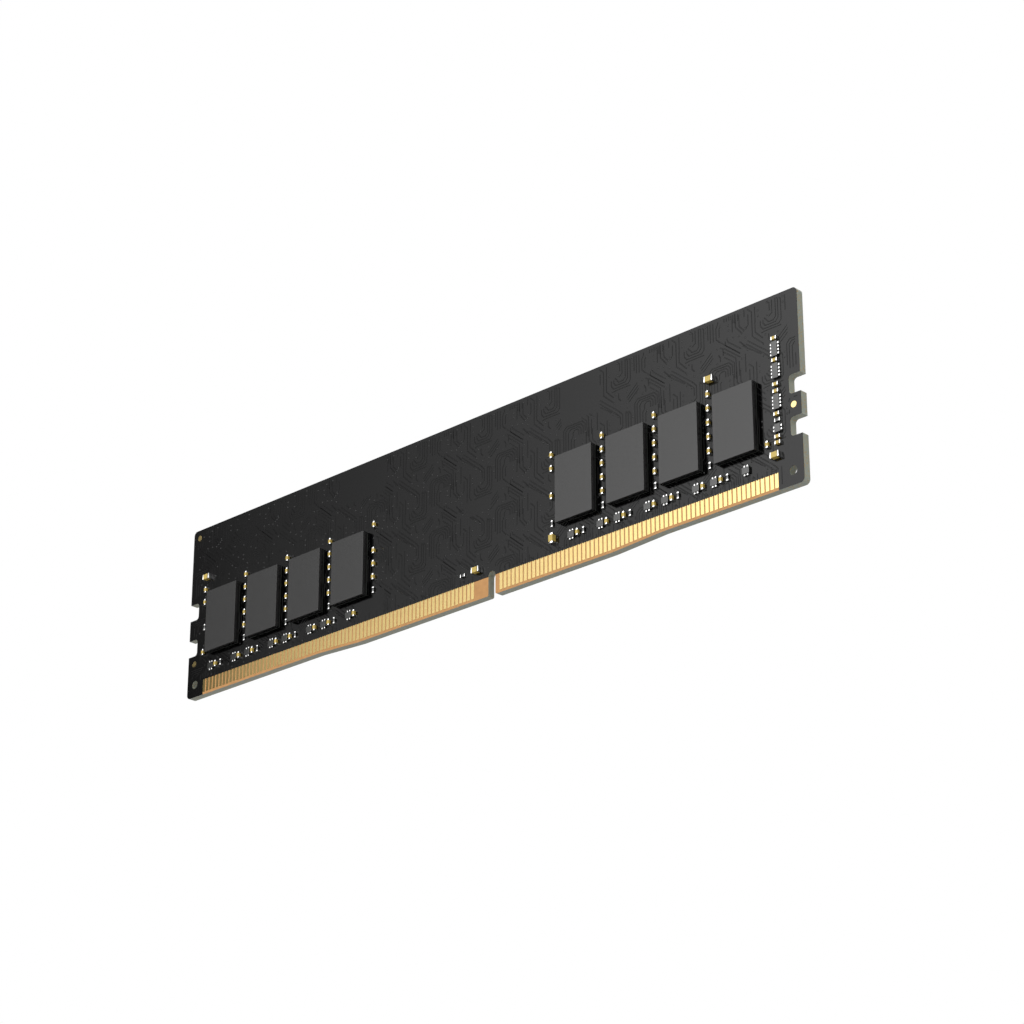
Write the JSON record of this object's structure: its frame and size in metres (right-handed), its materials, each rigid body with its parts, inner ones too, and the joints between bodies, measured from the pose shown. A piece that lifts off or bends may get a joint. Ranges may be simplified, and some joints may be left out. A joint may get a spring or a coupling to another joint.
{
  "type": "ram module",
  "caption": "Desktop memory module: a slim notched circuit card with edge contacts, memory packages on one face and rows of small passive parts.",
  "frame": {"origin": "middle of the contact edge: half way along the card, half way through its thickness, at the lowest part of the edge", "axes": "+X along the card, with the populated face towards -Y; +Y out of the plain back face; +Z from the contact edge up to the top edge"},
  "size_m": [0.1334, 0.0026, 0.0312],
  "materials": {
    "laminate": "bare glass-epoxy laminate, satin",
    "inner_copper": "bare copper foil",
    "solder_mask": "black solder mask, semi-gloss",
    "gold_plating": "hard gold plating, polished",
    "package_mould": "fine matte moulding compound",
    "package_substrate": "dark grey-green laminate, sawn edge",
    "silicon": "bare silicon, sealed inside the package",
    "solder": "reflowed tin-silver solder",
    "capacitor_ceramic": "fired ochre ceramic, satin",
    "tinned_terminal": "tin plating, satin",
    "resistor_glaze": "dark glaze over alumina",
    "network_ceramic": "grey ceramic, satin"
  },
  "bodies": {
    "root": {"board_laminate": "laminate", "inner_ground_plane": "inner_copper", "inner_power_plane": "inner_copper", "front_solder_mask": "solder_mask", "back_solder_mask": "solder_mask", "fiducial_marks": "gold_plating", "front_contacts_left": "gold_plating", "front_contacts_right": "gold_plating", "back_contacts_left": "gold_plating", "back_contacts_right": "gold_plating", "dram_mould_1": "package_mould", "dram_mould_2": "package_mould", "dram_mould_3": "package_mould", "dram_mould_4": "package_mould", "dram_mould_5": "package_mould", "dram_mould_6": "package_mould", "dram_mould_7": "package_mould", "dram_mould_8": "package_mould", "dram_substrate_1": "package_substrate", "dram_substrate_2": "package_substrate", "dram_substrate_3": "package_substrate", "dram_substrate_4": "package_substrate", "dram_substrate_5": "package_substrate", "dram_substrate_6": "package_substrate", "dram_substrate_7": "package_substrate", "dram_substrate_8": "package_substrate", "dram_die_1": "silicon", "dram_die_2": "silicon", "dram_die_3": "silicon", "dram_die_4": "silicon", "dram_die_5": "silicon", "dram_die_6": "silicon", "dram_die_7": "silicon", "dram_die_8": "silicon", "dram_solder_balls_1": "solder", "dram_solder_balls_2": "solder", "dram_solder_balls_3": "solder", "dram_solder_balls_4": "solder", "dram_solder_balls_5": "solder", "dram_solder_balls_6": "solder", "dram_solder_balls_7": "solder", "dram_solder_balls_8": "solder", "bulk_capacitor_bodies": "capacitor_ceramic", "bulk_capacitor_terminals": "tinned_terminal", "left_decoupling_bodies": "capacitor_ceramic", "left_decoupling_terminals": "tinned_terminal", "right_decoupling_bodies": "capacitor_ceramic", "right_decoupling_terminals": "tinned_terminal", "calibration_resistor_bodies": "resistor_glaze", "calibration_resistor_terminals": "tinned_terminal", "data_network_bodies": "network_ceramic", "data_network_terminals": "tinned_terminal", "data_capacitor_bodies": "capacitor_ceramic", "data_capacitor_terminals": "tinned_terminal", "data_resistor_bodies": "resistor_glaze", "data_resistor_terminals": "tinned_terminal", "end_network_bodies": "network_ceramic", "end_network_terminals": "tinned_terminal", "end_capacitor_bodies": "capacitor_ceramic", "end_capacitor_terminals": "tinned_terminal"}
  },
  "joints": []
}
